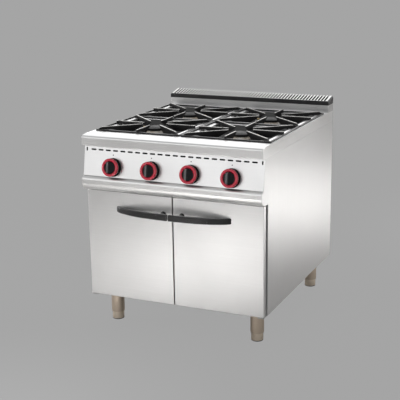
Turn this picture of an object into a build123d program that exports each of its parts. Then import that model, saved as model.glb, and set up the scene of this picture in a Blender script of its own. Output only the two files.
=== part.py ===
from build123d import *
import math
import os

# Commercial gas range: four open burners over a two-door cabinet on adjustable legs.
# Millimetres. X runs across, Y front to back, Z up. The origin is on the floor, in the middle of
# the range's footprint. Depths are counted back from the doors' front face.

# ---- Overall sizes ----
width = 800.0
body_depth = 900.0
handle_reach = 54.0
inlet_reach = 18.0
door_face = -(body_depth + inlet_reach - handle_reach) / 2
half_width = width / 2
sheet = 1.5
inner_half = half_width - sheet
running_gap = 0.3
shaft_clearance = 0.05

# ---- Heights ----
cabinet_base = 142.0
door_bottom = 143.0
door_top = 606.0
rail_base = 612.0
rail_top = 670.5
panel_base = 671.5
panel_top = 792.0
hob_seam = 796.0
deck_top = 843.0
riser_top = 876.0
grille_front_top = 896.0
grille_rear_top = 911.0

# ---- Cabinet ----
frame_depth = 35.0
return_width = 20.0
shelf_height = 172.0
header_base = 566.0
header_top = 660.0
tray_height = 650.0
back_panel_depth = body_depth - 3.0
louvre_count = 12

# ---- Legs ----
leg_x = 329.0
leg_front = 105.0
leg_rear = 821.0
sleeve_radius = 28.5
sleeve_bore = 26.5
sleeve_base = 36.0
foot_radius = 25.5
foot_top = 86.7
stem_radius = 6.0
stem_top = 128.0
channel_depth = 96.0

# ---- Doors ----
door_gap = 4.5
door_edge = 396.0
door_thickness = 22.0
door_sheet = 1.2
pivot_x = 384.0
pivot_depth = 11.0
pin_radius = 4.0
bracket_thickness = 3.0
pin_block_height = 14.0

# ---- Handles ----
handle_end = 258.0
handle_height = 532.5
handle_tall = 26.0
handle_thick = 17.0
handle_gap = 4.5
post_x = 42.0
post_radius = 8.0

# ---- Control panel ----
panel_foot_depth = -18.0
panel_head_depth = 4.0
rail_depth = -33.0
slot_count = 22
slot_pitch = 34.0
slot_length = 24.0
slot_height = 6.5
slot_row_drop = 12.5
end_slot_x = 389.0
end_slot_length = 16.0
knob_x = (-264.0, -88.0, 88.0, 264.0)
knob_height = 712.0
spindle_hole = 7.0

# ---- Knobs: stations along the spindle, from the panel's face ----
bezel_radius = 39.5
bezel_front = 5.0
knob_back = 9.5
knob_front = 30.0
grip_front = 37.5
knob_radius = 25.0
knob_shoulder_radius = 36.5
knob_skirt_radius = 35.0
ring_radius = 38.0
ring_back = 19.0
grip_base_width = 40.0
grip_ridge_width = 5.0
grip_length = 46.0
spindle_radius = 4.0
spindle_tail = -22.0
spindle_nose = 24.0
knob_bore_end = 29.0
push_travel = 4.0

# ---- Hob ----
nose_depth = -22.0
nose_drop = 838.0
nose_base = 798.0
well_centre_x = 197.5
well_depths = (255.0, 611.0)
well_length = 330.0
well_breadth = 290.0
well_floor_length = 250.0
well_floor_breadth = 210.0
well_floor = 806.0
riser_depth = 826.0

# ---- Pan supports ----
support_length = 391.0
support_breadth = 353.0
support_top = 857.0
rim_width = 8.0
rim_height = 5.0
finger_tip = 54.0
finger_belly = 829.0
finger_base_width = 9.0

# ---- Burners ----
neck_radius = 40.0
bowl_radius = 50.0
bowl_base = 765.0
bowl_top = 800.0
mixing_height = 782.0
crown_base = 818.0
crown_top = 831.0
crown_radius = 50.0
cap_radius = 48.0
cap_top = 843.0
pilot_reach = 73.0
pilot_angle = 22.5
pilot_radius = 4.0
pilot_tube_radius = 2.0
sensor_reach = 64.0
sensor_radius = 2.5

# ---- Gas train ----
manifold_depth = 70.0
manifold_height = 701.0
manifold_radius = 10.65
manifold_end_x = 345.0
valve_radius = 17.0
valve_near = -12.0
valve_far = -58.0
tube_radius = 4.0
lead_radius = 1.5
inlet_thread_radius = 10.478
inlet_hex = 27.0
inlet_hex_length = 16.0

# ---- Flue grille ----
grille_slots = 53
grille_pitch = 14.6
grille_slot_width = 8.2
notch_drop = 8.0

os.makedirs("parts", exist_ok=True)
panel_tilt = math.atan2(panel_head_depth - panel_foot_depth, panel_top - panel_base)


def place(depth, height):
    """A point of a front-to-back section: depth behind the doors' face, height over the floor."""
    return (door_face + depth, height)


def spot(x, depth, height):
    """A point in the range: x across, depth behind the doors' face, height over the floor."""
    return Vector(x, door_face + depth, height)


def finish(solid, name):
    """Label a piece and write it as one STEP file."""
    solid.label = name
    export_step(solid, f"parts/{name}.step")


def panel_plane(x, height):
    """A plane on the control panel's face, its Z pointing out of the panel and Y up the slope."""
    depth = panel_foot_depth + (height - panel_base) * math.tan(panel_tilt)
    outward = (0, -math.cos(panel_tilt), math.sin(panel_tilt))
    return Plane(origin=spot(x, depth, height), x_dir=(1, 0, 0), z_dir=outward)


def rounded_slab(length, breadth, radius, low, high, centre=(0, 0)):
    """A flat slab with rounded corners between two heights."""
    with BuildPart() as slab:
        with BuildSketch(Plane.XY.offset(low)):
            with Locations(centre):
                RectangleRounded(length, breadth, radius)
        extrude(amount=high - low)
    return slab.part


def block(x_range, depth_range, height_range):
    """A plain block given by its ranges across, in depth and in height."""
    (x0, x1), (d0, d1), (z0, z1) = x_range, depth_range, height_range
    with BuildPart() as solid:
        with Locations(spot((x0 + x1) / 2, (d0 + d1) / 2, (z0 + z1) / 2)):
            Box(x1 - x0, d1 - d0, z1 - z0)
    return solid.part


# Each burner with its tap: the outer taps feed the front burners, the inner ones the rear.
circuits = []
for x in knob_x:
    side = math.copysign(1, x)
    row = 0 if abs(x) > abs(knob_x[1]) else 1
    circuits.append((x, side, well_depths[row], row))


def beside_burner(circuit, reach, angle):
    """The x and y of a pilot or thermocouple beside a burner, on the side of its lead's run."""
    x, side, burner_depth, row = circuit
    away = side if row == 0 else -side
    across = away * reach * math.cos(math.radians(angle))
    along = reach * math.sin(math.radians(angle))
    return (side * well_centre_x + across, door_face + burner_depth + along)


# =============================== Fascia section ===============================
def rail_curve():
    """The half-round front of the rail below the control panel, from its top to its base."""
    shoulder = place(rail_depth, 655.0)
    belly = place(rail_depth, 642.0)
    ThreePointArc(place(panel_foot_depth, rail_top), place(-29.0, 665.5), shoulder)
    Line(shoulder, belly)
    ThreePointArc(belly, place(-27.0, 623.0), place(-12.0, rail_base))


def side_panel(side):
    """One side: a flat sheet whose front follows the fascia, with folded front and rear edges."""
    with BuildPart() as panel:
        with BuildSketch(Plane.YZ.offset(min(side * half_width, side * inner_half))):
            with BuildLine():
                rail_curve()
                Line(place(panel_foot_depth, rail_top), place(panel_foot_depth, panel_base))
                Polyline(
                    place(panel_foot_depth, panel_base),
                    place(panel_head_depth, panel_top + 0.3),
                    place(29.0, hob_seam - 0.5),
                    place(body_depth, hob_seam - 0.5),
                    place(body_depth, cabinet_base),
                    place(frame_depth, cabinet_base),
                    place(frame_depth, rail_base - 4),
                    place(-12.0, rail_base),
                )
            make_face()
        extrude(amount=sheet)
        inner = side * inner_half
        fold = side * (inner_half - return_width)
        add(block(sorted((inner, fold)), (frame_depth, frame_depth + sheet), (cabinet_base, 606)))
        add(block(sorted((inner, fold)), (body_depth - sheet, body_depth), (cabinet_base, 795.5)))
        joggle = side * (inner_half - sheet)
        add(block(sorted((inner, joggle)), (34, body_depth - 5), (785, deck_top - sheet)))
    return panel.part


for side, name in ((-1, "side_panel_left"), (1, "side_panel_right")):
    finish(side_panel(side), name)

# =============================== Cabinet ===============================
inlet_plane = Plane(origin=spot(manifold_end_x, 0, manifold_height), z_dir=(0, 1, 0))

with BuildPart() as back_panel:
    add(block((-inner_half, inner_half), (back_panel_depth, body_depth - sheet), (cabinet_base, 795)))
    with BuildSketch(Plane.XZ.offset(-door_face - back_panel_depth)):
        with Locations((0, 735)):
            with GridLocations(52, 22, louvre_count, 2):
                SlotOverall(40, 8)
    extrude(amount=-3 * sheet, mode=Mode.SUBTRACT)
    with BuildSketch(inlet_plane.offset(back_panel_depth - sheet)):
        Circle(manifold_radius + 1.5)
    extrude(amount=4 * sheet, mode=Mode.SUBTRACT)
finish(back_panel.part, "back_panel")

with BuildPart() as cabinet_floor:
    shelf_end = back_panel_depth
    add(block((-inner_half, inner_half), (36.5, shelf_end), (shelf_height, shelf_height + sheet)))
    lip_ends = (-inner_half + return_width, inner_half - return_width)
    add(block(lip_ends, (frame_depth, frame_depth + sheet), (cabinet_base, shelf_height + sheet)))
finish(cabinet_floor.part, "cabinet_floor")


def base_channel(centre_depth):
    """A folded channel across the base that carries two legs."""
    front, back = centre_depth - channel_depth / 2, centre_depth + channel_depth / 2
    with BuildPart() as channel:
        add(block((-inner_half, inner_half), (front, back), (cabinet_base, shelf_height)))
        inside = (cabinet_base + 3, shelf_height)
        add(block((-half_width, half_width), (front + 3, back - 3), inside), mode=Mode.SUBTRACT)
    return channel.part


with BuildPart() as base_channels:
    for leg_depth in (leg_front, leg_rear):
        add(base_channel(leg_depth))
finish(base_channels.part, "base_channels")

with BuildPart() as door_header:
    add(block(lip_ends, (frame_depth, frame_depth + sheet), (header_base, header_top)))
    add(block((-inner_half, inner_half), (frame_depth, frame_depth + sheet), (606, header_top)))
    add(block(lip_ends, (frame_depth, 70), (header_base, header_base + sheet)))
finish(door_header.part, "door_header")

with BuildPart() as burner_tray:
    tray = (tray_height, tray_height + sheet)
    add(block((-inner_half, inner_half), (36.5, shelf_end), tray))
finish(burner_tray.part, "burner_tray")

with BuildPart() as burner_rails:
    for well_depth in well_depths:
        add(block((-inner_half, inner_half), (well_depth - 15, well_depth + 15), (762, bowl_base)))
        add(block((-inner_half, inner_half), (well_depth - 15, well_depth - 12), (735, 762)))
finish(burner_rails.part, "burner_rails")


# =============================== Hob ===============================
def well_form(wall):
    """The solid that fills one pressed well, grown by the sheet's wall on all its sides."""
    with BuildPart() as form:
        with BuildSketch(Plane.XY.offset(deck_top)):
            RectangleRounded(well_length + 2 * wall, well_breadth + 2 * wall, 30)
        with BuildSketch(Plane.XY.offset(well_floor - wall)):
            RectangleRounded(well_floor_length + 2 * wall, well_floor_breadth + 2 * wall, 24)
        loft()
    return form.part


def well_collar():
    """The upstand round the hole that the burner's neck comes through."""
    with BuildPart() as collar:
        with Locations((0, 0, well_floor)):
            Cylinder(neck_radius + 5.5, 8, align=(Align.CENTER, Align.CENTER, Align.MIN))
    return collar.part


well_places = [spot(x, d, 0) for d in well_depths for x in (-well_centre_x, well_centre_x)]

with BuildPart() as hob_top:
    with BuildSketch(Plane.YZ):
        with BuildLine():
            FilletPolyline(
                place(8, deck_top),
                place(nose_depth, nose_drop),
                place(nose_depth, nose_base),
                place(6, 792.8),
                radius=[9, 4],
            )
            Polyline(
                place(6, 792.8),
                place(29, hob_seam),
                place(body_depth, hob_seam),
                place(body_depth, deck_top),
                place(8, deck_top),
            )
        make_face()
    extrude(amount=half_width, both=True)
    with BuildSketch(Plane.YZ):
        with BuildLine():
            Polyline(
                place(body_depth - sheet, deck_top - sheet),
                place(8, deck_top - sheet),
                place(nose_depth + 5, nose_drop - 0.7),
                place(nose_depth + sheet, nose_drop - 8),
                place(nose_depth + sheet, nose_base + 2.5),
                place(6, 794.4),
                place(6, 780),
                place(body_depth - sheet, 780),
                close=True,
            )
        make_face()
    extrude(amount=inner_half, both=True, mode=Mode.SUBTRACT)
    with Locations(*well_places):
        add(well_form(sheet), mode=Mode.SUBTRACT)
    flue_mouth = (riser_depth + 12, body_depth - 12)
    add(block((-370, 370), flue_mouth, (deck_top - 3, deck_top + 3)), mode=Mode.SUBTRACT)
finish(hob_top.part, "hob_top")

with BuildPart() as burner_wells:
    with Locations(*well_places):
        add(well_form(sheet))
    with Locations(*well_places):
        add(well_form(0), mode=Mode.SUBTRACT)
    with Locations(*well_places):
        add(well_collar())
    with BuildSketch(Plane.XY.offset(well_floor - 5)):
        with Locations(*[(p.X, p.Y) for p in well_places]):
            Circle(neck_radius + 4)
    extrude(amount=20, mode=Mode.SUBTRACT)
    with BuildSketch(Plane.XY.offset(well_floor - 5)):
        for circuit in circuits:
            with Locations(beside_burner(circuit, pilot_reach, pilot_angle)):
                Circle(pilot_radius + 0.5)
            with Locations(beside_burner(circuit, sensor_reach, -pilot_angle)):
                Circle(sensor_radius + 0.5)
    extrude(amount=10, mode=Mode.SUBTRACT)
finish(burner_wells.part, "burner_wells")

with BuildPart() as flue_riser:
    outer = (riser_depth, body_depth)
    inner = (riser_depth + sheet, body_depth - sheet)
    add(block((-half_width, half_width), outer, (deck_top, riser_top)))
    bore = (deck_top - 1, riser_top + 1)
    add(block((-inner_half, inner_half), inner, bore), mode=Mode.SUBTRACT)
finish(flue_riser.part, "flue_riser")

with BuildPart() as flue_grille:
    with BuildSketch(Plane.YZ):
        with BuildLine():
            Polyline(
                place(riser_depth, riser_top + running_gap),
                place(riser_depth, grille_front_top),
                place(body_depth, grille_rear_top),
                place(body_depth, riser_top + running_gap),
                close=True,
            )
        make_face()
    extrude(amount=half_width, both=True)
    inside = (riser_depth + 4, body_depth - 4)
    add(block((-395, 395), inside, (riser_top, grille_front_top - 7)), mode=Mode.SUBTRACT)
    with BuildSketch(Plane.XY.offset(riser_top)):
        with Locations((0, door_face + (riser_depth + body_depth) / 2)):
            with GridLocations(grille_pitch, 1, grille_slots, 1):
                Rectangle(grille_slot_width, body_depth - riser_depth - 6)
    extrude(amount=60, mode=Mode.SUBTRACT)
    with BuildSketch(Plane.XY.offset(grille_rear_top - notch_drop)):
        with Locations((0, door_face + body_depth)):
            with GridLocations(grille_pitch, 1, grille_slots, 1):
                Rectangle(grille_slot_width, 10)
    extrude(amount=notch_drop + 1, mode=Mode.SUBTRACT)
    top_edges = edges().filter_by(Axis.X, reverse=True).group_by(Axis.X)
    for end_edges in (top_edges[0], top_edges[-1]):
        chamfer(end_edges.sort_by(Axis.Z)[-1:], 6)
finish(flue_grille.part, "flue_grille")


# =============================== Fascia ===============================
def open_channel(skin, back_depth):
    """A folded sheet along the range: the skin of an outline, hollow and open at its back."""
    with BuildPart() as channel:
        with BuildSketch(Plane.YZ):
            add(skin)
            offset(amount=-sheet, mode=Mode.SUBTRACT)
            with Locations(place(back_depth + 50 - sheet, 700)):
                Rectangle(100, 300, mode=Mode.SUBTRACT)
        extrude(amount=inner_half, both=True)
    return channel.part


with BuildSketch(Plane.YZ) as panel_section:
    with BuildLine():
        Polyline(
            place(14, panel_top),
            place(panel_head_depth, panel_top),
            place(panel_foot_depth, panel_base),
            place(14, panel_base),
            close=True,
        )
    make_face()

with BuildPart() as control_panel:
    add(open_channel(panel_section.sketch_local, 14))
    slot_plane = panel_plane(0, panel_top - slot_row_drop)
    with BuildSketch(slot_plane):
        with GridLocations(slot_pitch, 1, slot_count, 1):
            SlotOverall(slot_length, slot_height)
        with GridLocations(2 * end_slot_x, 1, 2, 1):
            SlotOverall(end_slot_length, slot_height, rotation=90)
    extrude(amount=4, both=True, mode=Mode.SUBTRACT)
    with BuildSketch(panel_plane(0, knob_height)):
        with Locations(*[(x, 0) for x in knob_x]):
            Circle(spindle_hole)
    extrude(amount=4, both=True, mode=Mode.SUBTRACT)
finish(control_panel.part, "control_panel")

with BuildSketch(Plane.YZ) as rail_section:
    with BuildLine():
        rail_curve()
        Polyline(
            place(-12.0, rail_base),
            place(frame_depth, rail_base),
            place(frame_depth, rail_top),
            place(panel_foot_depth, rail_top),
        )
    make_face()
with BuildPart() as front_rail:
    add(open_channel(rail_section.sketch_local, frame_depth))
finish(front_rail.part, "front_rail")


# =============================== Pan supports ===============================
def finger(outer_end, belly_end, rise_end, outer_top):
    """One finger along +X: a blade with a level ridge, a deep belly and a thin tip."""
    seat = deck_top + running_gap
    shoulder = outer_end - 2.2 * (support_top - outer_top)
    slope = [(shoulder, support_top)] if outer_top < support_top else []
    with BuildPart() as blade:
        with BuildSketch(Plane.XZ):
            with BuildLine():
                Polyline(
                    (finger_tip, support_top),
                    *slope,
                    (outer_end, outer_top),
                    (outer_end, seat),
                    (rise_end, seat),
                    (belly_end, finger_belly),
                    (finger_tip + 45, finger_belly),
                    (finger_tip, support_top - 6),
                    close=True,
                )
            make_face()
        extrude(amount=finger_base_width, both=True)
        with BuildSketch(Plane.YZ):
            with Locations((0, support_top)):
                Trapezoid(
                    finger_base_width,
                    40,
                    left_side_angle=86,
                    align=(Align.CENTER, Align.MAX),
                )
        extrude(amount=outer_end + 10, mode=Mode.INTERSECT)
    return blade.part


def pan_support():
    """A cast pan support about its burner's centre: a low rim and eight fingers."""
    seat = deck_top + running_gap
    reach_x = support_length / 2 - rim_width
    reach_y = support_breadth / 2 - rim_width
    corner = math.hypot(reach_x, reach_y)
    corner_angle = math.degrees(math.atan2(reach_y, reach_x))
    rim_top = seat + rim_height
    across = finger(reach_x + 1, 135, 158, support_top)
    along = finger(reach_y + 1, 114, 137, support_top)
    slanted = finger(corner - 1, 150, 190, rim_top)
    with BuildPart() as support:
        add(rounded_slab(support_length, support_breadth, 10, seat, rim_top))
        inner = (support_length - 2 * rim_width, support_breadth - 2 * rim_width)
        add(rounded_slab(*inner, 4, seat - 1, rim_top + 1), mode=Mode.SUBTRACT)
        add([across, across.rotate(Axis.Z, 180)])
        add([along.rotate(Axis.Z, 90), along.rotate(Axis.Z, 270)])
        for turn in (corner_angle, -corner_angle, 180 - corner_angle, 180 + corner_angle):
            add(slanted.rotate(Axis.Z, turn))
    return support.part


burner_names = ("front_left", "front_right", "rear_left", "rear_right")
support_form = pan_support()
for name, centre in zip(burner_names, well_places):
    finish(Pos(centre.X, centre.Y, 0) * support_form, f"pan_support_{name}")


# =============================== Burners ===============================
def burner_body():
    """A cast burner about its own centre: bowl, neck and a mixing tube that runs to the front."""
    mouth_depth = 112.0 - well_depths[0]
    with BuildPart() as body:
        with BuildSketch(Plane.XZ):
            with BuildLine():
                Polyline(
                    (0, bowl_base),
                    (38, bowl_base),
                    (bowl_radius, bowl_base + 10),
                    (bowl_radius, bowl_top - 4),
                    (bowl_radius - 4, bowl_top),
                    (neck_radius, bowl_top),
                    (neck_radius, crown_base),
                    (0, crown_base),
                    close=True,
                )
            make_face()
        revolve(axis=Axis.Z)
        with BuildSketch(Plane.XZ.offset(-mouth_depth)):
            with Locations((0, mixing_height)):
                Circle(17)
        with BuildSketch(Plane.XZ.offset(-mouth_depth - 40)):
            with Locations((0, mixing_height)):
                Circle(12)
        with BuildSketch(Plane.XZ.offset(30)):
            with Locations((0, mixing_height)):
                Circle(16)
        loft(ruled=True)
        with BuildSketch(Plane.XZ.offset(-mouth_depth)):
            with Locations((0, mixing_height)):
                Circle(14)
        with BuildSketch(Plane.XZ.offset(-mouth_depth - 40)):
            with Locations((0, mixing_height)):
                Circle(9)
        with BuildSketch(Plane.XZ.offset(30)):
            with Locations((0, mixing_height)):
                Circle(13)
        loft(ruled=True, mode=Mode.SUBTRACT)
        with BuildSketch(Plane.XY.offset(bowl_base + 8)):
            Circle(neck_radius - 6)
        extrude(amount=60, mode=Mode.SUBTRACT)
    return body.part


def burner_crown():
    """The ported ring that sits on the neck, with a slot for every flame."""
    port_count = 36
    with BuildPart() as crown:
        with BuildSketch(Plane.XZ):
            with BuildLine():
                Polyline(
                    (neck_radius - 8, crown_base),
                    (crown_radius + 3, crown_base),
                    (crown_radius + 3, crown_base + 3),
                    (crown_radius - 4, crown_top - running_gap),
                    (neck_radius - 8, crown_top - running_gap),
                    close=True,
                )
            make_face()
        revolve(axis=Axis.Z)
        with BuildSketch(Plane.XY.offset(crown_top - 5)):
            with PolarLocations(crown_radius, port_count):
                Rectangle(26, 2.2)
        extrude(amount=6, mode=Mode.SUBTRACT)
    return crown.part


def burner_cap():
    """The loose cast cap: a shallow dome with a spigot that drops into the crown."""
    with BuildPart() as cap:
        with BuildSketch(Plane.XZ):
            with BuildLine():
                Polyline(
                    (0, crown_top - 6),
                    (neck_radius - 10, crown_top - 6),
                    (neck_radius - 10, crown_top),
                    (cap_radius, crown_top),
                    (cap_radius, crown_top + 6),
                    (cap_radius - 3, crown_top + 9),
                    (cap_radius / 2, cap_top),
                    (0, cap_top),
                    close=True,
                )
            make_face()
        revolve(axis=Axis.Z)
        fillet(cap.edges().filter_by(GeomType.CIRCLE).group_by(Axis.Z)[-1], 12)
    return cap.part


body_form, crown_form, cap_form = burner_body(), burner_crown(), burner_cap()
with BuildPart() as burner_bodies:
    with Locations(*well_places):
        add(body_form)
finish(burner_bodies.part, "burner_bodies")

with BuildPart() as burner_crowns:
    with Locations(*well_places):
        add(crown_form)
finish(burner_crowns.part, "burner_crowns")

for name, centre in zip(burner_names, well_places):
    finish(Pos(centre.X, centre.Y, 0) * cap_form, f"burner_cap_{name}")


# =============================== Gas train ===============================
def tube(points, radius, bend):
    """A tube along straight runs joined by bends."""
    with BuildPart() as run:
        with BuildLine() as route:
            FilletPolyline(*points, radius=bend)
        start = route.line @ 0
        with BuildSketch(Plane(origin=start, z_dir=route.line % 0)):
            Circle(radius)
        sweep(path=route.line)
    return run.part


def station(x, distance):
    """A point on a valve's axis, a distance out from the control panel's face."""
    return panel_plane(x, knob_height).offset(distance).origin


manifold_rear = 862.0
with BuildPart() as gas_manifold:
    add(
        tube(
            [
                spot(-290, manifold_depth, manifold_height),
                spot(manifold_end_x, manifold_depth, manifold_height),
                spot(manifold_end_x, manifold_rear, manifold_height),
            ],
            manifold_radius,
            34,
        )
    )
finish(gas_manifold.part, "gas_manifold")

with BuildPart() as gas_inlet:
    with BuildSketch(inlet_plane.offset(manifold_rear)):
        RegularPolygon(inlet_hex / 2, 6, major_radius=False)
    extrude(amount=inlet_hex_length)
    with BuildSketch(inlet_plane.offset(manifold_rear + inlet_hex_length)):
        Circle(inlet_thread_radius - 1)
    extrude(amount=body_depth - manifold_rear - inlet_hex_length)
    with BuildSketch(inlet_plane.offset(body_depth)):
        Circle(inlet_thread_radius)
    extrude(amount=inlet_reach)
    chamfer(faces().sort_by(Axis.Y)[-1].edges(), 1)
finish(gas_inlet.part, "gas_inlet")


def gas_valve(x):
    """A plug valve: a tilted barrel held on the manifold's front, with its outlet on top."""
    barrel = panel_plane(x, knob_height)
    middle = station(x, (valve_near + valve_far) / 2)
    pipe_centre = spot(x, manifold_depth, manifold_height)
    with BuildPart() as valve:
        with BuildSketch(barrel.offset(valve_far)):
            Circle(valve_radius)
        extrude(amount=valve_near - valve_far)
        with BuildSketch(Plane(origin=pipe_centre, z_dir=(0, -1, 0))):
            Circle(8)
        extrude(amount=pipe_centre.Y - middle.Y)
        with BuildSketch(Plane(origin=middle)):
            Circle(8)
        extrude(amount=valve_radius + 6)
        with BuildSketch(Plane(origin=pipe_centre, z_dir=(1, 0, 0))):
            Circle(manifold_radius)
        extrude(amount=20, both=True, mode=Mode.SUBTRACT)
        with BuildSketch(barrel.offset(spindle_tail - 1)):
            Circle(spindle_radius + shaft_clearance)
        extrude(amount=valve_near - spindle_tail + 2, mode=Mode.SUBTRACT)
        split_rear = Plane(origin=pipe_centre, z_dir=(0, -1, 0))
        split(bisect_by=split_rear, keep=Keep.TOP)
    return valve.part


with BuildPart() as gas_valves:
    for x in knob_x:
        add(gas_valve(x))
finish(gas_valves.part, "gas_valves")

with BuildPart() as gas_injectors:
    for x, side, burner_depth, row in circuits:
        mouth = spot(side * well_centre_x, burner_depth - well_depths[0] + 112.0, mixing_height)
        with BuildSketch(Plane(origin=mouth, z_dir=(0, -1, 0))):
            Circle(17)
        extrude(amount=3)
        with BuildSketch(Plane(origin=mouth, z_dir=(0, -1, 0))):
            RegularPolygon(8, 6)
        extrude(amount=18)
finish(gas_injectors.part, "gas_injectors")

outlet_rise = valve_radius + 6
with BuildPart() as feed_tubes:
    for x, side, burner_depth, row in circuits:
        outlet = station(x, (valve_near + valve_far) / 2)
        nozzle_y = door_face + burner_depth - well_depths[0] + 112.0 - 18
        turn_y = nozzle_y - 24
        corner_x = side * well_centre_x
        points = [Vector(x, outlet.Y, outlet.Z + outlet_rise), Vector(x, outlet.Y, mixing_height)]
        if row:
            points.append(Vector(x, turn_y, mixing_height))
            points.append(Vector(corner_x, turn_y, mixing_height))
        else:
            points.append(Vector(corner_x, outlet.Y, mixing_height))
        points.append(Vector(corner_x, nozzle_y, mixing_height))
        add(tube(points, tube_radius, 12))
finish(feed_tubes.part, "feed_tubes")


def lead_route(circuit, reach, angle, rise):
    """The route of a pilot tube or thermocouple lead: from beside its burner to its tap."""
    x, side, burner_depth, row = circuit
    tip_x, tip_y = beside_burner(circuit, reach, angle)
    tap = station(x, valve_far + 8)
    join_x = tap.X + math.copysign(6, angle)
    level = mixing_height + rise
    points = [Vector(tip_x, tip_y, well_floor - 6), Vector(tip_x, tip_y, level)]
    if row:
        points.append(Vector(tip_x, tap.Y + 50, level))
        points.append(Vector(join_x, tap.Y + 50, level))
        points.append(Vector(join_x, tap.Y, level))
    else:
        points.append(Vector(tip_x, tap.Y, level))
    near_x = abs(points[-1].X - tap.X) - pilot_tube_radius
    crest = math.sqrt(valve_radius**2 - near_x**2) / math.cos(panel_tilt)
    landing = tap.Z + crest + pilot_tube_radius * math.tan(panel_tilt)
    points.append(Vector(points[-1].X, tap.Y, landing))
    return points


with BuildPart() as pilot_burners:
    for circuit in circuits:
        route = lead_route(circuit, pilot_reach, pilot_angle, 9)
        add(tube(route, pilot_tube_radius, 8))
        with BuildSketch(Plane(origin=route[0])):
            Circle(pilot_radius)
        extrude(amount=28)
        with BuildSketch(Plane(origin=route[0] + Vector(0, 0, 28))):
            RectangleRounded(12, 9, 2)
        extrude(amount=5)
finish(pilot_burners.part, "pilot_burners")

with BuildPart() as thermocouples:
    for circuit in circuits:
        route = lead_route(circuit, sensor_reach, -pilot_angle, -4 - 6 * circuit[3])
        add(tube(route, lead_radius, 8))
        with BuildSketch(Plane(origin=route[0])):
            Circle(sensor_radius)
        extrude(amount=36)
finish(thermocouples.part, "thermocouples")


# =============================== Knobs ===============================
with BuildPart() as knob_bezels:
    for x in knob_x:
        with BuildSketch(panel_plane(x, knob_height)):
            Circle(bezel_radius)
            Circle(spindle_hole, mode=Mode.SUBTRACT)
        extrude(amount=bezel_front, taper=25)
finish(knob_bezels.part, "knob_bezels")


def valve_spindle(x):
    """A spindle from the valve's bore to the knob, with a flat on its front end."""
    with BuildPart() as spindle:
        with BuildSketch(panel_plane(x, knob_height).offset(spindle_tail)):
            Circle(spindle_radius)
        extrude(amount=spindle_nose - spindle_tail)
        flat_start = knob_back - push_travel - 1
        with BuildSketch(panel_plane(x, knob_height).offset(flat_start)):
            with Locations((0, spindle_radius)):
                Rectangle(10, 3)
        extrude(amount=spindle_nose - flat_start + 1, mode=Mode.SUBTRACT)
    return spindle.part


def knob(x):
    """A moulded knob: a flared back and a recessed face that rises to an upright ridge."""
    base = panel_plane(x, knob_height)
    with BuildPart() as body:
        with BuildSketch(base.offset(knob_back)):
            Circle(knob_skirt_radius)
        with BuildSketch(base.offset(ring_back)):
            Circle(knob_shoulder_radius)
        loft()
        with BuildSketch(base.offset(ring_back)):
            Circle(knob_radius)
        extrude(amount=knob_front - 4 - ring_back)
        with BuildSketch(base.offset(knob_front - 4)):
            Rectangle(grip_base_width, grip_length)
        with BuildSketch(base.offset(grip_front)):
            Rectangle(grip_ridge_width, grip_length)
        loft()
        with BuildSketch(base.offset(knob_front - 4)):
            Circle(2 * knob_radius)
            Circle(knob_radius - 1, mode=Mode.SUBTRACT)
        extrude(amount=grip_front - knob_front + 4, mode=Mode.SUBTRACT)
        with BuildSketch(base.offset(knob_back)):
            Circle(spindle_radius + shaft_clearance)
            with Locations((0, spindle_radius + 0.2)):
                Rectangle(10, 3, mode=Mode.SUBTRACT)
        extrude(amount=knob_bore_end - knob_back, mode=Mode.SUBTRACT)
    return body.part


def knob_ring(x):
    """The coloured ring round a knob, rounded at its front."""
    base = panel_plane(x, knob_height)
    with BuildPart() as ring:
        with BuildSketch(base.offset(ring_back)):
            Circle(ring_radius)
            Circle(knob_radius, mode=Mode.SUBTRACT)
        extrude(amount=knob_front - ring_back)
        front = ring.faces().sort_by(Axis(base.origin, base.z_dir))[-1]
        fillet(front.edges(), 5)
    return ring.part


for number, x in enumerate(knob_x, start=1):
    finish(valve_spindle(x), f"valve_spindle_{number}")
    finish(knob(x), f"knob_{number}")
    finish(knob_ring(x), f"knob_ring_{number}")


# =============================== Doors ===============================
def door_skin(side):
    """The outer pan of a door: a face with four folded edges, pierced for its pivot pins."""
    near, far = side * door_gap / 2, side * door_edge
    ends = sorted((near, far))
    heights = (door_bottom, door_top)
    with BuildPart() as skin:
        add(block(ends, (0, door_thickness), heights))
        fillet(skin.faces().sort_by(Axis.Y)[0].edges(), 2)
        inside = [ends[0] + door_sheet, ends[1] - door_sheet]
        wall = (door_bottom + door_sheet, door_top - door_sheet)
        add(block(inside, (door_sheet, door_thickness + 1), wall), mode=Mode.SUBTRACT)
        with BuildSketch(Plane.XY.offset(door_bottom - 1)):
            with Locations((side * pivot_x, door_face + pivot_depth)):
                Circle(pin_radius)
        extrude(amount=door_top - door_bottom + 2, mode=Mode.SUBTRACT)
    return skin.part


def door_liner(side):
    """The flat sheet that closes a door's back, held inside the skin's folds."""
    ends = sorted((side * (door_gap / 2 + door_sheet), side * (door_edge - door_sheet)))
    heights = (door_bottom + door_sheet, door_top - door_sheet)
    return block(ends, (door_thickness - 1, door_thickness), heights)


def door_pins(side):
    """A door's two pivot pins, each on a block welded inside the skin."""
    low = door_bottom + door_sheet
    high = door_top - door_sheet
    span = sorted((side * (pivot_x - 10), side * (door_edge - door_sheet)))
    depths = (door_sheet, door_thickness - 2)
    with BuildPart() as pins:
        add(block(span, depths, (low, low + pin_block_height - 1)))
        add(block(span, depths, (high - pin_block_height + 1, high)))
        for base, end in ((low, low - door_sheet - 3.4), (high, high + door_sheet + 5.3)):
            with BuildSketch(Plane.XY.offset(min(base, end))):
                with Locations((side * pivot_x, door_face + pivot_depth)):
                    Circle(pin_radius)
            extrude(amount=abs(end - base))
    return pins.part


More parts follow.
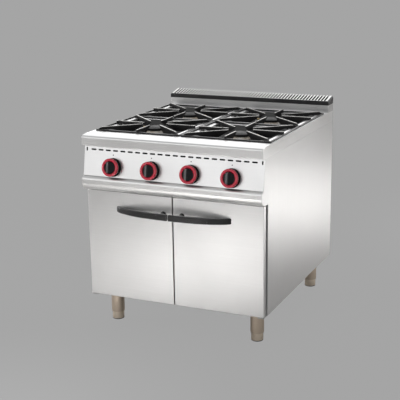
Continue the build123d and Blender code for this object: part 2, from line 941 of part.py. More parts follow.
def handle(side):
    """A moulded grip: half of the arch that the two handles make, with a post and an end pad."""
    front = door_face - handle_reach
    rear = front + handle_thick
    tip, end = side * handle_gap, side * handle_end
    bend, bend_drop = side * 160.0, 12.5
    outer = [
        (tip, front),
        (side * 85, front + 3),
        (bend, front + bend_drop),
        (side * 216, front + 30),
        (end - side * 8, door_face - 7),
    ]
    inner = [
        (end - side * 30, door_face),
        (side * 206, door_face - 13),
        (bend - side * 4, rear + bend_drop),
        (side * 83, rear + 3),
        (tip, rear),
    ]
    with BuildPart() as grip:
        with BuildSketch(Plane.XY.offset(handle_height - handle_tall / 2)):
            with BuildLine():
                Spline(*outer, tangents=[(side, 0), (side, 1)])
                Polyline(outer[-1], (end, door_face), inner[0])
                Spline(*inner, tangents=[(-side, -0.5), (-side, 0)])
                Line(inner[-1], outer[0])
            make_face()
        extrude(amount=handle_tall)
        level_faces = grip.faces().filter_by(Axis.Z)
        fillet(level_faces.edges().filter_by(GeomType.LINE, reverse=True), 5)
        with BuildSketch(Plane(origin=spot(side * post_x, 0, handle_height), z_dir=(0, -1, 0))):
            Circle(post_radius)
        extrude(amount=handle_reach - handle_thick + 4)
        with BuildSketch(Plane(origin=spot(side * post_x, 0, handle_height), z_dir=(0, -1, 0))):
            Circle(post_radius + 4)
        extrude(amount=4, taper=30)
    return grip.part


for side, name in ((-1, "left"), (1, "right")):
    finish(door_skin(side), f"door_skin_{name}")
    finish(door_liner(side), f"door_liner_{name}")
    finish(door_pins(side), f"door_pins_{name}")
    finish(handle(side), f"handle_{name}")

with BuildPart() as hinge_brackets:
    for side in (-1, 1):
        span = sorted((side * 370.0, side * 396.0))
        add(block(span, (0, frame_depth), (door_top + 2.2, door_top + 2.2 + bracket_thickness)))
        under = (cabinet_base - bracket_thickness, cabinet_base)
        add(block(span, (0, leg_front - 30), under))
    with BuildSketch(Plane.XY.offset(cabinet_base - 10)):
        with Locations((-pivot_x, door_face + pivot_depth), (pivot_x, door_face + pivot_depth)):
            Circle(pin_radius + shaft_clearance)
    extrude(amount=door_top - cabinet_base + 30, mode=Mode.SUBTRACT)
finish(hinge_brackets.part, "hinge_brackets")

with BuildPart() as door_catches:
    for side in (-1, 1):
        span = sorted((side * 30.0, side * 74.0))
        add(block(span, (door_thickness + 0.4, frame_depth), (576, 590)))
    with BuildSketch(Plane.XZ.offset(-door_face - door_thickness - 0.4)):
        with Locations((-52, 583), (52, 583)):
            Rectangle(30, 2.5)
    extrude(amount=-2, mode=Mode.SUBTRACT)
finish(door_catches.part, "door_catches")

# =============================== Legs ===============================
leg_places = {
    "front_left": (-leg_x, leg_front),
    "front_right": (leg_x, leg_front),
    "rear_left": (-leg_x, leg_rear),
    "rear_right": (leg_x, leg_rear),
}


def leg_sleeve(x, depth):
    """A leg's fixed upper tube, with a threaded boss inside it."""
    with BuildPart() as sleeve:
        with BuildSketch(Plane(origin=spot(x, depth, sleeve_base))):
            Circle(sleeve_radius)
            Circle(sleeve_bore, mode=Mode.SUBTRACT)
        extrude(amount=cabinet_base - sleeve_base)
        with BuildSketch(Plane(origin=spot(x, depth, cabinet_base - 4))):
            Circle(sleeve_bore)
        extrude(amount=4)
        with BuildSketch(Plane(origin=spot(x, depth, foot_top + running_gap))):
            Circle(12)
        extrude(amount=cabinet_base - foot_top - running_gap)
        with BuildSketch(Plane(origin=spot(x, depth, foot_top - 1))):
            Circle(stem_radius + shaft_clearance)
        extrude(amount=stem_top - foot_top + 3, mode=Mode.SUBTRACT)
    return sleeve.part


def foot(x, depth):
    """An adjustable foot: a cup that slides in the sleeve, on a threaded stem."""
    with BuildPart() as cup:
        with BuildSketch(Plane(origin=spot(x, depth, 0))):
            Circle(foot_radius)
        extrude(amount=foot_top)
        with BuildSketch(Plane(origin=spot(x, depth, 6))):
            Circle(foot_radius - 2)
        extrude(amount=foot_top - 10, mode=Mode.SUBTRACT)
        with BuildSketch(Plane(origin=spot(x, depth, foot_top - 5))):
            Circle(stem_radius)
        extrude(amount=stem_top - foot_top + 5)
        chamfer(cup.faces().sort_by(Axis.Z)[0].edges(), 1.5)
    return cup.part


with BuildPart() as leg_sleeves:
    for x, depth in leg_places.values():
        add(leg_sleeve(x, depth))
finish(leg_sleeves.part, "leg_sleeves")

for name, (x, depth) in leg_places.items():
    finish(foot(x, depth), f"foot_{name}")

# =============================== Fasteners ===============================
with BuildPart() as panel_screws:
    with BuildSketch(Plane.XZ.offset(-door_face - body_depth + sheet)):
        with Locations((0, 468)):
            with GridLocations(740, 200, 2, 4):
                Circle(5)
    extrude(amount=-1.4)
    chamfer(panel_screws.faces().filter_by(Axis.Y).group_by(Axis.Y)[-1].edges(), 0.8)
finish(panel_screws.part, "panel_screws")
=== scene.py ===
import math

import bmesh
import bpy
from mathutils import Matrix, Vector


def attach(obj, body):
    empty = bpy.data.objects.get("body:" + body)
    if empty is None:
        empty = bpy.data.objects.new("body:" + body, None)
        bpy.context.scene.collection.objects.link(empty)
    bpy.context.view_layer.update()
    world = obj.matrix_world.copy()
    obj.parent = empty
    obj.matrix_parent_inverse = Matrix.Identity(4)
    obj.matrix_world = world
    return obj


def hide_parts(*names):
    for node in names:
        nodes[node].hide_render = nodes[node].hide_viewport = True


# The finished look of a four-burner gas range. Sizes are in millimetres in the range's own
# frame and are turned to metres when a piece is finished.

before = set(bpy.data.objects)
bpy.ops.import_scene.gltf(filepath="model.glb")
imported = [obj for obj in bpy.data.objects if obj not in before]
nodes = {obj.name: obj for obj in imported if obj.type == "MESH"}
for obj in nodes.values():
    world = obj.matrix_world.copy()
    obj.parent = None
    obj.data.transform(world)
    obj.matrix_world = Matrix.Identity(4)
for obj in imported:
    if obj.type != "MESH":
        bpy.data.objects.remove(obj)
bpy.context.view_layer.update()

# ---- Sizes ----
door_face = -432.0
panel_foot_depth = -18.0
panel_foot_height = 671.5
panel_tilt = math.atan2(22.0, 120.5)
knob_x = (-264.0, -88.0, 88.0, 264.0)
knob_height = 712.0
mark_height = 762.0
mark_radius = 2.3
vent_height = 779.5
# The black sheet behind the vent slots is painted shade of the cabinet's dark inside.
vent_shade_size = (786.0, 17.0, 1.0)
vent_shade_out = -3.4
ring_inner = 25.1
ring_outer = 37.6
ring_back = 19.4
ring_shoulder = 27.0
ring_crown = (31.4, 25.2)
ring_crown_radii = (6.3, 5.0)
ring_crown_steps = 12
places = ("front_left", "front_right", "rear_left", "rear_right")
backdrop_grey = (0.382, 0.382, 0.382, 1.0)


# =============================== Mesh helpers ===============================
def finish_piece(bm, name, material, body, replaced=(), edge=0.0, segments=2):
    """Turn a mesh in millimetres into a piece of the range."""
    bmesh.ops.remove_doubles(bm, verts=bm.verts, dist=0.002)
    bmesh.ops.recalc_face_normals(bm, faces=bm.faces)
    bmesh.ops.scale(bm, vec=(0.001, 0.001, 0.001), verts=bm.verts)
    mesh = bpy.data.meshes.new(name)
    bm.to_mesh(mesh)
    bm.free()
    mesh.materials.append(material)
    piece = bpy.data.objects.new(name, mesh)
    bpy.context.scene.collection.objects.link(piece)
    soften(piece, edge, segments)
    if replaced:
        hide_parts(*replaced)
    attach(piece, body)
    return piece


def soften(piece, edge, segments=2, angle=32.0):
    """Round a piece's sharp edges and shade its curved faces smoothly."""
    faces = piece.data.polygons
    faces.foreach_set("use_smooth", [True] * len(faces))
    if edge:
        rounding = piece.modifiers.new("rounded_edges", "BEVEL")
        rounding.width = edge / 1000.0
        rounding.segments = segments
        rounding.limit_method = "ANGLE"
        rounding.angle_limit = math.radians(angle)
        rounding.miter_outer = "MITER_ARC"
    shading = piece.modifiers.new("flat_faces", "WEIGHTED_NORMAL")
    shading.weight = 100
    shading.keep_sharp = True


def paint(name, material):
    """Give a CAD piece its finish and keep its own shading."""
    piece = nodes[name]
    for place in piece.material_slots:
        place.material = material
    return piece


def dress(name, material, edge=0.0, segments=2):
    """Give a CAD piece its finish and rounded edges."""
    piece = paint(name, material)
    weld = piece.modifiers.new("weld", "WELD")
    weld.merge_threshold = 0.00001
    soften(piece, edge, segments)


def pull(bm, face, vector):
    """Pull a flat face out into a closed solid."""
    copied = bmesh.ops.duplicate(bm, geom=[face])["geom"]
    far = [part for part in copied if isinstance(part, bmesh.types.BMFace)][0]
    bmesh.ops.translate(bm, verts=far.verts[:], vec=vector)
    bmesh.ops.bridge_loops(bm, edges=face.edges[:] + far.edges[:])
    return far


def turned(profile, steps=48, place=None):
    """A shape turned about the Z axis from its profile of (radius, height) points."""
    bm = bmesh.new()
    verts = [bm.verts.new((radius, 0.0, height)) for radius, height in profile]
    edges = [bm.edges.new(pair) for pair in zip(verts, verts[1:])]
    bmesh.ops.spin(
        bm,
        geom=verts + edges,
        cent=(0, 0, 0),
        axis=(0, 0, 1),
        angle=math.tau,
        steps=steps,
        use_merge=True,
    )
    bmesh.ops.remove_doubles(bm, verts=bm.verts, dist=0.001)
    bmesh.ops.recalc_face_normals(bm, faces=bm.faces)
    if place is not None:
        bmesh.ops.transform(bm, matrix=place, verts=bm.verts)
    return bm


def add_copy(bm, other, place=None):
    """Add another mesh to this one and free it."""
    if place is not None:
        bmesh.ops.transform(other, matrix=place, verts=other.verts)
    mesh = bpy.data.meshes.new("copy")
    other.to_mesh(mesh)
    other.free()
    bm.from_mesh(mesh)
    bpy.data.meshes.remove(mesh)


# =============================== Finishes ===============================
class Finish:
    """A material under construction, with short calls for its nodes."""

    def __init__(self, name):
        self.material = bpy.data.materials.new(name)
        self.material.use_nodes = True
        self.tree = self.material.node_tree
        self.tree.nodes.clear()
        self.out = self.tree.nodes.new("ShaderNodeOutputMaterial")
        self.skin = self.tree.nodes.new("ShaderNodeBsdfPrincipled")
        self.tree.links.new(self.skin.outputs["BSDF"], self.out.inputs["Surface"])
        self.place = self.tree.nodes.new("ShaderNodeTexCoord").outputs["Object"]

    def put(self, target, value):
        """Link or set one input socket."""
        if isinstance(value, bpy.types.NodeSocket):
            self.tree.links.new(value, target)
        else:
            target.default_value = value

    def set(self, **values):
        """Set the shader's own inputs."""
        for label, value in values.items():
            self.put(self.skin.inputs[label.replace("_", " ")], value)
        return self

    def noise(self, scale, stretch=(1, 1, 1), detail=2.0, rough=0.5, turn=(0, 0, 0)):
        """Noise in the piece's own space, stretched by a factor along each axis."""
        mapping = self.tree.nodes.new("ShaderNodeMapping")
        mapping.inputs["Scale"].default_value = stretch
        mapping.inputs["Rotation"].default_value = turn
        self.put(mapping.inputs["Vector"], self.place)
        noise = self.tree.nodes.new("ShaderNodeTexNoise")
        self.put(noise.inputs["Vector"], mapping.outputs["Vector"])
        noise.inputs["Scale"].default_value = scale
        noise.inputs["Detail"].default_value = detail
        noise.inputs["Roughness"].default_value = rough
        return noise.outputs["Fac"]

    def span(self, value, low, high, to_low=0.0, to_high=1.0):
        """Map a range of values onto another, clamped."""
        ranged = self.tree.nodes.new("ShaderNodeMapRange")
        self.put(ranged.inputs["Value"], value)
        ranged.inputs["From Min"].default_value = low
        ranged.inputs["From Max"].default_value = high
        ranged.inputs["To Min"].default_value = to_low
        ranged.inputs["To Max"].default_value = to_high
        return ranged.outputs["Result"]

    def blend(self, share, first, second):
        """Mix two colours by a share."""
        mixed = self.tree.nodes.new("ShaderNodeMix")
        mixed.data_type = "RGBA"
        self.put(mixed.inputs["Factor"], share)
        self.put(mixed.inputs["A"], (*first, 1.0) if isinstance(first, tuple) else first)
        self.put(mixed.inputs["B"], (*second, 1.0) if isinstance(second, tuple) else second)
        return mixed.outputs["Result"]

    def sum(self, operation, first, second):
        """A sum, product or other operation on two values."""
        math_node = self.tree.nodes.new("ShaderNodeMath")
        math_node.operation = operation
        self.put(math_node.inputs[0], first)
        self.put(math_node.inputs[1], second)
        return math_node.outputs["Value"]

    def grain(self, axis):
        """Fine scratches and broad bands along one axis."""
        fine = [1400.0, 1400.0, 1400.0]
        broad = [260.0, 260.0, 260.0]
        fine["xyz".index(axis)] = 9.0
        broad["xyz".index(axis)] = 2.5
        return self.noise(1.0, fine, detail=3.0, rough=0.7), self.noise(1.0, broad, detail=2.0, rough=0.6)

    def flank_share(self):
        """One on the surfaces that face left or right, zero elsewhere."""
        facing = self.tree.nodes.new("ShaderNodeSeparateXYZ")
        self.put(facing.inputs["Vector"], self.tree.nodes["Texture Coordinate"].outputs["Normal"])
        return self.span(self.sum("ABSOLUTE", facing.outputs["X"], 0.0), 0.6, 0.75)

    def mingle(self, share, first, second):
        """Mix two values by a share."""
        change = self.sum("MULTIPLY", self.sum("SUBTRACT", second, first), share)
        return self.sum("ADD", first, change)

    def height(self):
        """The height of the point over the floor, in metres."""
        parts = self.tree.nodes.new("ShaderNodeSeparateXYZ")
        self.put(parts.inputs["Vector"], self.place)
        return parts.outputs["Z"]

    def bump(self, value, strength, distance=0.001):
        """Raise the surface by a value."""
        relief = self.tree.nodes.new("ShaderNodeBump")
        relief.inputs["Strength"].default_value = strength
        relief.inputs["Distance"].default_value = distance
        self.put(relief.inputs["Height"], value)
        self.put(self.skin.inputs["Normal"], relief.outputs["Normal"])
        return self


def brushed_steel(
    name, grain, tone, rough, stain=0.05, warm=(1.0, 1.0, 1.0), relief=0.08, flank=None, uneven=0.03
):
    """Brushed sheet: fine scratches along the grain, faint smears and uneven gloss."""
    finish = Finish(name)
    scratches, bands = finish.grain(grain)
    if flank:
        side = finish.flank_share()
        across, broad = finish.grain(flank)
        scratches = finish.mingle(side, scratches, across)
        bands = finish.mingle(side, bands, broad)
    smears = finish.noise(3.2, detail=3.0, rough=0.5)
    wear = finish.sum("ADD", finish.sum("MULTIPLY", scratches, 0.6), finish.sum("MULTIPLY", bands, 0.4))
    dark = tuple(tone * part * (1.0 - stain) for part in warm)
    light = tuple(min(1.0, tone * part * (1.0 + stain * 0.5)) for part in warm)
    clean = finish.blend(finish.span(wear, 0.36, 0.64), dark, light)
    hazed = tuple(tone * part * 0.93 for part in warm)
    finish.set(
        Base_Color=finish.blend(finish.span(smears, 0.5, 0.75, 0.0, 0.6), clean, hazed),
        Metallic=1.0,
        Roughness=finish.sum(
            "ADD",
            finish.span(wear, 0.3, 0.7, rough - uneven, rough + uneven),
            finish.span(smears, 0.35, 0.7, 0.0, 0.08),
        ),
    )
    return finish.bump(scratches, relief, 0.0002).material


def steel_black_at_floor(name):
    """Bright warm steel, black and not metallic on its lowest few millimetres at the floor."""
    finish = Finish(name)
    handled = finish.noise(45.0, detail=4.0)
    # Black below 3.5 mm over the floor, changing to steel by 4.5 mm.
    steel_share = finish.span(finish.height(), 0.0035, 0.0045)
    steel = finish.blend(finish.span(handled, 0.35, 0.75), (0.98, 0.86, 0.72), (0.88, 0.76, 0.62))
    finish.set(
        Base_Color=finish.blend(steel_share, (0.015, 0.015, 0.015), steel),
        Metallic=steel_share,
        Roughness=finish.span(handled, 0.3, 0.7, 0.28, 0.32),
    )
    return finish.bump(finish.noise(300.0), 0.04, 0.0002).material


def cast_iron(name):
    """Dark enamelled casting, pebbled, with its top ridges worn bright by pans."""
    finish = Finish(name)
    pebbles = finish.noise(420.0, detail=3.0, rough=0.6)
    patches = finish.noise(22.0, detail=4.0)
    ridge = finish.span(finish.height(), 0.8548, 0.8564)
    worn = finish.sum("MULTIPLY", ridge, finish.span(finish.noise(60.0, detail=3.0), 0.20, 0.42))
    black = finish.blend(patches, (0.004, 0.004, 0.005), (0.016, 0.015, 0.015))
    finish.set(
        Base_Color=finish.blend(worn, black, (0.82, 0.81, 0.79)),
        Metallic=finish.sum("MULTIPLY", worn, 0.9),
        Roughness=finish.span(patches, 0.3, 0.75, 0.29, 0.44),
        Specular_IOR_Level=0.3,
    )
    return finish.bump(pebbles, 0.22, 0.0005).material


def black_enamel(name, rough=0.24, shine=0.25):
    """Glossy black enamel with a little orange peel and dust."""
    finish = Finish(name)
    peel = finish.noise(160.0, detail=2.0)
    dust = finish.noise(35.0, detail=5.0, rough=0.6)
    dusty = finish.span(dust, 0.45, 0.8)
    finish.set(
        Base_Color=finish.blend(dusty, (0.006, 0.006, 0.007), (0.028, 0.027, 0.026)),
        Roughness=finish.span(dust, 0.35, 0.75, rough, rough + 0.16),
        Specular_IOR_Level=shine,
    )
    return finish.bump(peel, 0.12, 0.0005).material


def enamel_with_painted_sheen(name):
    """Black enamel whose up-facing surfaces are bright steel: a painted sheen that stands for the reflection
    off the glossy slat tops.
    """
    finish = Finish(name)
    facing = finish.tree.nodes.new("ShaderNodeSeparateXYZ")
    finish.put(facing.inputs["Vector"], finish.tree.nodes["Texture Coordinate"].outputs["Normal"])
    wear = finish.noise(30.0, detail=4.0, rough=0.6)
    # Up-facing faces turn bright steel: painted sheen; the noise only varies its coverage and the black's
    # dusty tone.
    upward = finish.span(facing.outputs["Z"], 0.88, 0.95)
    steel_share = finish.sum("MULTIPLY", upward, finish.span(wear, 0.1, 0.4, 0.8, 1.0))
    black = finish.blend(finish.span(wear, 0.45, 0.8), (0.006, 0.006, 0.007), (0.02, 0.02, 0.02))
    finish.set(
        Base_Color=finish.blend(steel_share, black, (0.82, 0.82, 0.81)),
        Metallic=steel_share,
        Roughness=finish.span(wear, 0.3, 0.7, 0.30, 0.38),
    )
    return finish.bump(finish.noise(160.0), 0.08, 0.0004).material


def burner_metal(name):
    """Bright burner ring metal, tinted by heat and marked by soot."""
    finish = Finish(name)
    heat = finish.noise(28.0, detail=3.0)
    soot = finish.noise(70.0, detail=5.0, rough=0.65)
    tint = finish.blend(finish.span(heat, 0.35, 0.65), (0.78, 0.76, 0.72), (0.66, 0.57, 0.46))
    finish.set(
        Base_Color=finish.blend(finish.span(soot, 0.56, 0.75), tint, (0.10, 0.09, 0.08)),
        Metallic=1.0,
        Roughness=finish.span(soot, 0.3, 0.8, 0.30, 0.5),
    )
    return finish.bump(finish.noise(500.0), 0.12, 0.0003).material


def moulding(name, colour, scuffed, rough, coat=0.0, grain=900.0, relief=0.1, shine=0.5):
    """Moulded plastic with fine grain, faint scuffs and uneven gloss."""
    finish = Finish(name)
    scuffs = finish.noise(90.0, detail=5.0, rough=0.62)
    finish.set(
        Base_Color=finish.blend(finish.span(scuffs, 0.5, 0.8, 0.0, 0.8), colour, scuffed),
        Roughness=finish.span(scuffs, 0.3, 0.75, rough, rough + 0.12),
        Specular_IOR_Level=shine,
        Coat_Weight=coat,
        Coat_Roughness=0.08,
    )
    return finish.bump(finish.noise(grain, detail=2.0), relief, 0.0002).material


def plain_metal(name, colour, darker, rough, grain=300.0):
    """Machined, drawn or plated metal with slight tarnish."""
    finish = Finish(name)
    tarnish = finish.noise(45.0, detail=4.0)
    finish.set(
        Base_Color=finish.blend(finish.span(tarnish, 0.35, 0.75), colour, darker),
        Metallic=1.0,
        Roughness=finish.span(tarnish, 0.3, 0.7, rough, rough + 0.14),
    )
    return finish.bump(finish.noise(grain, detail=3.0), 0.1, 0.0002).material


side_steel = brushed_steel("side_steel", "z", 0.80, 0.34, stain=0.03, relief=0.04)
door_steel = brushed_steel("door_steel", "x", 0.80, 0.31, stain=0.03, relief=0.04)
fascia_steel = brushed_steel("fascia_steel", "x", 0.84, 0.30, stain=0.02, relief=0.03, uneven=0.02)
rail_steel = brushed_steel("rail_steel", "x", 0.88, 0.30, stain=0.02, relief=0.03, uneven=0.02)
deck_steel = brushed_steel("deck_steel", "x", 0.88, 0.30, stain=0.02, relief=0.03, flank="y", uneven=0.02)
flue_steel = brushed_steel("flue_steel", "x", 0.66, 0.30, stain=0.02, relief=0.02, flank="y", uneven=0.02)
# The wells' stainless is given a very dark tone: painted shade of the sunken wells.
well_steel_painted_shade = brushed_steel("well_steel_painted_shade", "x", 0.10, 0.34, stain=0.2)
frame_steel = brushed_steel("frame_steel", "x", 0.60, 0.46, stain=0.10)
leg_warmth = (1.0, 0.84, 0.68)
leg_steel = brushed_steel("leg_steel", "z", 0.72, 0.29, stain=0.02, warm=leg_warmth, relief=0.01, uneven=0.01)
foot_steel = steel_black_at_floor("foot_steel")
hinge_steel = plain_metal("hinge_steel", (0.62, 0.62, 0.62), (0.48, 0.48, 0.47), 0.3)
support_iron = cast_iron("support_iron")
cap_enamel = black_enamel("cap_enamel", 0.42, 0.16)
# The grille's tops carry the painted sheen of its glossy slats.
grille_enamel = enamel_with_painted_sheen("grille_enamel")
crown_metal = burner_metal("crown_metal")
raw_iron = plain_metal("raw_iron", (0.13, 0.12, 0.12), (0.07, 0.06, 0.06), 0.5)
brass = plain_metal("brass", (0.74, 0.58, 0.30), (0.50, 0.36, 0.18), 0.28)
pipe_zinc = plain_metal("pipe_zinc", (0.55, 0.55, 0.54), (0.42, 0.42, 0.41), 0.38)
drawn_tube = plain_metal("drawn_tube", (0.74, 0.73, 0.71), (0.58, 0.56, 0.54), 0.25)
knob_black = moulding("knob_black", (0.006, 0.006, 0.007), (0.02, 0.02, 0.02), 0.30, shine=0.22)
ring_red = moulding("ring_red", (0.56, 0.008, 0.036), (0.64, 0.04, 0.08), 0.14, coat=0.6, relief=0.03)
# Matte, almost unreflecting black for the sheet behind the vent slots: painted shade.
vent_shade_black = moulding("vent_shade_black", (0.003, 0.003, 0.003), (0.006, 0.006, 0.006), 0.8, shine=0.05)
handle_black = moulding("handle_black", (0.010, 0.010, 0.011), (0.03, 0.03, 0.03), 0.18, shine=0.6)
catch_black = moulding("catch_black", (0.03, 0.03, 0.03), (0.06, 0.06, 0.06), 0.45)

# =============================== CAD pieces ===============================
for side in ("left", "right"):
    dress(f"side_panel_{side}", side_steel, 0.8)
    dress(f"door_skin_{side}", door_steel, 0.5)
    dress(f"door_liner_{side}", door_steel, 0.5)
    dress(f"door_pins_{side}", hinge_steel, 0.3)
    dress(f"handle_{side}", handle_black, 0.5)
dress("back_panel", side_steel, 0.5)
dress("panel_screws", hinge_steel, 0.2)
for name in ("cabinet_floor", "base_channels", "door_header", "burner_tray", "burner_rails"):
    dress(name, frame_steel, 0.6)
paint("hob_top", deck_steel)
# The wells take the dark steel that paints their shade.
dress("burner_wells", well_steel_painted_shade, 0.4)
dress("flue_riser", flue_steel, 0.8)
dress("flue_grille", grille_enamel, 0.6)
paint("control_panel", fascia_steel)
paint("front_rail", rail_steel)
dress("hinge_brackets", hinge_steel, 0.4)
dress("door_catches", catch_black, 0.8)
dress("knob_bezels", knob_black, 0.8)
dress("burner_bodies", raw_iron, 0.0)
dress("burner_crowns", crown_metal, 0.3)
dress("gas_manifold", pipe_zinc)
dress("gas_inlet", brass, 0.3)
dress("gas_valves", brass, 0.5)
dress("gas_injectors", brass, 0.3)
dress("pilot_burners", brass)
dress("feed_tubes", drawn_tube)
dress("thermocouples", drawn_tube)
dress("leg_sleeves", leg_steel, 0.6)
for place in places:
    dress(f"pan_support_{place}", support_iron, 0.8)
    dress(f"burner_cap_{place}", cap_enamel, 0.8)
    dress(f"foot_{place}", foot_steel, 0.6)
for number in range(1, 5):
    dress(f"valve_spindle_{number}", hinge_steel, 0.2)
    dress(f"knob_{number}", knob_black, 0.6)
    dress(f"knob_ring_{number}", ring_red, 0.6)

# =============================== Fascia pieces ===============================
def panel_frame(x, height, out=0.0):
    """A place on the control panel: X across, Y up the slope, Z out of the panel."""
    depth = panel_foot_depth + (height - panel_foot_height) * math.tan(panel_tilt)
    up = Vector((0.0, math.sin(panel_tilt), math.cos(panel_tilt)))
    outward = Vector((0.0, -math.cos(panel_tilt), math.sin(panel_tilt)))
    turn = Matrix((Vector((1.0, 0.0, 0.0)), up, outward)).transposed().to_4x4()
    return Matrix.Translation(Vector((x, door_face + depth, height)) + outward * out) @ turn


def plate(length, breadth, thick, place):
    """A thin plate whose back lies on a place."""
    bm = bmesh.new()
    size = Matrix.Diagonal((length, breadth, 1.0, 1.0))
    bmesh.ops.create_grid(bm, x_segments=1, y_segments=1, size=0.5, matrix=size)
    pull(bm, bm.faces[:][0], (0.0, 0.0, thick))
    bmesh.ops.transform(bm, matrix=place, verts=bm.verts)
    return bm


# A matte black sheet set just behind the vent slots: painted shade, standing for the dark inside of the
# cabinet seen through them.
vent = plate(*vent_shade_size, panel_frame(0.0, vent_height, vent_shade_out))
finish_piece(vent, "vent_shade_sheet", vent_shade_black, "cabinet", edge=0.2)

marks = bmesh.new()
mark_profile = [(0.0, 0.0), (mark_radius, 0.0), (mark_radius, 0.12), (0.0, 0.2)]
for x in knob_x:
    add_copy(marks, turned(mark_profile, 24), panel_frame(x, mark_height, 0.02))
finish_piece(marks, "index_marks", knob_black, "cabinet")

ring_profile = [(ring_inner, ring_back), (ring_inner, ring_shoulder)]
for step in range(ring_crown_steps + 1):
    turn = math.pi * (1.0 - step / ring_crown_steps)
    radius = ring_crown[0] + ring_crown_radii[0] * math.cos(turn)
    height = ring_crown[1] + ring_crown_radii[1] * math.sin(turn)
    ring_profile.append((radius, height))
ring_profile += [(ring_outer, ring_back), (ring_inner, ring_back)]
for number, x in enumerate(knob_x, start=1):
    knob = f"knob_{number}"
    ring = turned(ring_profile, 72, panel_frame(x, knob_height))
    finish_piece(ring, f"red_ring_{number}", ring_red, knob, (f"knob_ring_{number}",))

# =============================== Studio ===============================
def studio_paint():
    """Pale paint: a flat grey to the camera with a faint shadow, white to all other rays."""
    paint = bpy.data.materials.new("studio_paint")
    paint.use_nodes = True
    tree = paint.node_tree
    tree.nodes.clear()
    surface = tree.nodes.new("ShaderNodeOutputMaterial")
    rays = tree.nodes.new("ShaderNodeLightPath")
    white = tree.nodes.new("ShaderNodeBsdfDiffuse")
    white.inputs["Color"].default_value = (0.50, 0.49, 0.48, 1.0)
    grey = tree.nodes.new("ShaderNodeBsdfDiffuse")
    grey.inputs["Color"].default_value = (0.40, 0.40, 0.40, 1.0)
    backdrop = tree.nodes.new("ShaderNodeEmission")
    backdrop.inputs["Color"].default_value = backdrop_grey
    seen = tree.nodes.new("ShaderNodeMixShader")
    seen.inputs["Fac"].default_value = 0.95
    tree.links.new(grey.outputs["BSDF"], seen.inputs[1])
    tree.links.new(backdrop.outputs["Emission"], seen.inputs[2])
    chosen = tree.nodes.new("ShaderNodeMixShader")
    tree.links.new(rays.outputs["Is Camera Ray"], chosen.inputs["Fac"])
    tree.links.new(white.outputs["BSDF"], chosen.inputs[1])
    tree.links.new(seen.outputs["Shader"], chosen.inputs[2])
    tree.links.new(chosen.outputs["Shader"], surface.inputs["Surface"])
    return paint


def studio_floor():
    """A floor that fills the view."""
    mesh = bpy.data.meshes.new("studio_floor")
    shape = bmesh.new()
    bmesh.ops.create_grid(shape, x_segments=1, y_segments=1, size=60.0)
    shape.to_mesh(mesh)
    shape.free()
    mesh.materials.append(studio_paint())
    floor = bpy.data.objects.new("studio_floor", mesh)
    bpy.context.scene.collection.objects.link(floor)


def studio_world():
    """Soft light that changes along each axis, seen by the camera as the floor's own grey."""
    world = bpy.data.worlds.new("studio")
    bpy.context.scene.world = world
    world.use_nodes = True
    tree = world.node_tree
    background = tree.nodes["Background"]
    direction = tree.nodes.new("ShaderNodeTexCoord")
    parts = tree.nodes.new("ShaderNodeSeparateXYZ")
    tree.links.new(direction.outputs["Generated"], parts.inputs["Vector"])
    glow = []
    for part, ends, levels in sky_levels:
        span = tree.nodes.new("ShaderNodeMapRange")
        span.inputs["From Min"].default_value, span.inputs["From Max"].default_value = ends
        span.inputs["To Min"].default_value, span.inputs["To Max"].default_value = levels
        tree.links.new(parts.outputs[part], span.inputs["Value"])
        glow.append(span.outputs["Result"])
    total = glow[0]
    for level in glow[1:]:
        product = tree.nodes.new("ShaderNodeMath")
        product.operation = "MULTIPLY"
        tree.links.new(total, product.inputs[0])
        tree.links.new(level, product.inputs[1])
        total = product.outputs["Value"]
    tree.links.new(total, background.inputs["Strength"])
    background.inputs["Color"].default_value = (1.0, 1.0, 1.0, 1.0)
    backdrop = tree.nodes.new("ShaderNodeBackground")
    backdrop.inputs["Color"].default_value = backdrop_grey
    rays = tree.nodes.new("ShaderNodeLightPath")
    seen = tree.nodes.new("ShaderNodeMixShader")
    tree.links.new(rays.outputs["Is Camera Ray"], seen.inputs["Fac"])
    tree.links.new(background.outputs["Background"], seen.inputs[1])
    tree.links.new(backdrop.outputs["Background"], seen.inputs[2])
    tree.links.new(seen.outputs["Shader"], tree.nodes["World Output"].inputs["Surface"])


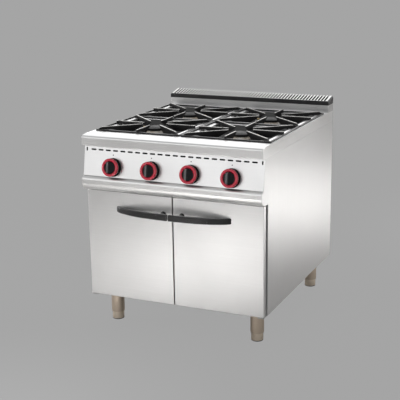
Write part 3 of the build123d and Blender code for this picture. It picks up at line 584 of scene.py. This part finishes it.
def soft_lamp(name, place, aim, width, height, power, spread=180.0):
    """A large soft lamp aimed at a point."""
    lamp = bpy.data.lights.new(name, "AREA")
    lamp.shape = "RECTANGLE"
    lamp.size = width
    lamp.size_y = height
    lamp.energy = power
    lamp.spread = math.radians(spread)
    holder = bpy.data.objects.new(name, lamp)
    bpy.context.scene.collection.objects.link(holder)
    holder.location = place
    holder.rotation_euler = (Vector(aim) - Vector(place)).to_track_quat("-Z", "Y").to_euler()


sky_levels = (
    ("X", (-0.9, -0.2), (0.5, 1.0)),
    ("X", (0.1, 0.7), (1.0, 0.35)),
    ("Y", (0.8, -0.9), (3.4, 1.85)),
    ("Z", (0.05, 0.75), (0.85, 0.22)),
)
studio_floor()
studio_world()
soft_lamp("front_pool_lamp", (-0.2, -2.1, 2.6), (-0.22, -1.5, 0.0), 0.3, 0.3, 10.5, 38.0)
soft_lamp("side_pool_lamp", (2.1, 1.9, 2.6), (1.75, 1.85, 0.0), 0.5, 0.5, 31.0, 58.0)
soft_lamp("left_lamp", (-2.6, -0.8, 0.9), (0.0, -0.5, 0.7), 0.5, 1.0, 20.0)

# =============================== Camera ===============================
sensor_width = 36.0
lens_to_width = 949.0 / 400.0
camera_place = (1.6362, -3.7687, 1.5783)
azimuth, elevation, roll = math.radians(24.32), math.radians(15.33), math.radians(-0.80)
backward = Vector((
    math.sin(azimuth) * math.cos(elevation),
    -math.cos(azimuth) * math.cos(elevation),
    math.sin(elevation),
))
level = Vector((math.cos(azimuth), math.sin(azimuth), 0.0))
upward = backward.cross(level)
across = level * math.cos(roll) + upward * math.sin(roll)
upright = upward * math.cos(roll) - level * math.sin(roll)
lens = bpy.data.cameras.new("camera")
lens.sensor_width = sensor_width
lens.lens = sensor_width * lens_to_width
lens.shift_x = -0.003
lens.shift_y = 0.0205
camera = bpy.data.objects.new("camera", lens)
bpy.context.scene.collection.objects.link(camera)
axes = Matrix((across, upright, backward)).transposed().to_4x4()
camera.matrix_world = Matrix.Translation(camera_place) @ axes
bpy.context.scene.camera = camera
bpy.context.scene.view_settings.view_transform = "Standard"
